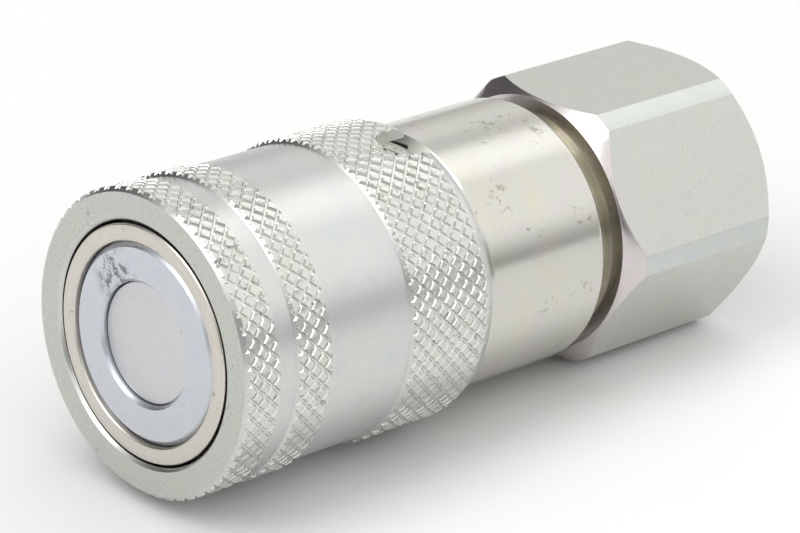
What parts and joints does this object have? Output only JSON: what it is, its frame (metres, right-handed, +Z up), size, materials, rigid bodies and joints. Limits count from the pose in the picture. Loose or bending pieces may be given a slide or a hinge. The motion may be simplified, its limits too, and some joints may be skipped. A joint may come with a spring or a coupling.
{
  "type": "quick disconnect coupler",
  "caption": "Flat-face hydraulic quick coupling socket with a knurled locking sleeve, sliding valve sleeve and hexagonal threaded port.",
  "frame": {"origin": "centre of the threaded rear port's mouth, on the coupling's axis", "axes": "+X along the axis, rearwards out of the threaded port; the coupling face looks towards -X; +Z up, square to a hex flat"},
  "size_m": [0.0726, 0.0304, 0.0304],
  "materials": {
    "adapter_zinc": "zinc plated, fine matte grain",
    "body_zinc": "zinc plated and turned, semi-gloss with a faint yellow tint",
    "sleeve_zinc": "zinc plated, satin, diamond knurled",
    "valve_zinc": "blue zinc plated, satin",
    "poppet_zinc": "zinc plated, fine matte",
    "bearing_steel": "polished hardened steel",
    "plain_steel": "turned steel",
    "spring_steel": "oiled spring steel",
    "nitrile": "matte black rubber",
    "ptfe": "white low-friction plastic"
  },
  "bodies": {
    "socket": {"hex_adapter": "adapter_zinc", "socket_body": "body_zinc", "lock_balls": "bearing_steel", "safety_ball": "bearing_steel", "sleeve_spring": "spring_steel", "spring_backing_ring": "plain_steel", "sleeve_snap_ring": "spring_steel", "dust_wiper": "nitrile", "nose_seal": "nitrile", "nose_backup_ring": "ptfe", "valve_spring": "spring_steel", "valve_spring_seat": "plain_steel", "poppet_head": "poppet_zinc", "poppet_seal": "nitrile", "poppet_stem": "plain_steel", "stem_washer": "plain_steel", "stem_spider": "plain_steel", "stem_lock_washer": "spring_steel", "stem_nut": "plain_steel", "adapter_o_ring": "nitrile", "adapter_backup_ring": "ptfe"},
    "sleeve_carrier": {"thrust_washer": "plain_steel"},
    "sleeve": {"locking_sleeve": "sleeve_zinc"},
    "valve": {"valve_sleeve": "valve_zinc"}
  },
  "joints": [
    {"name": "sleeve_pull", "type": "slide", "parent": "socket", "child": "sleeve_carrier", "axis": [1, 0, 0], "range_m": [0, 0.0035], "stiffness_N_per_m": 3000, "springref_m": -0.005, "deforming": ["sleeve_spring"]},
    {"name": "sleeve_turn", "type": "hinge", "parent": "sleeve_carrier", "child": "sleeve", "pos_m": [-0.056, 0, 0], "axis": [1, 0, 0], "range_deg": [-180, 180]},
    {"name": "valve_push", "type": "slide", "parent": "socket", "child": "valve", "axis": [1, 0, 0], "range_m": [0, 0.012], "stiffness_N_per_m": 2000, "springref_m": -0.006, "deforming": ["valve_spring"]}
  ]
}
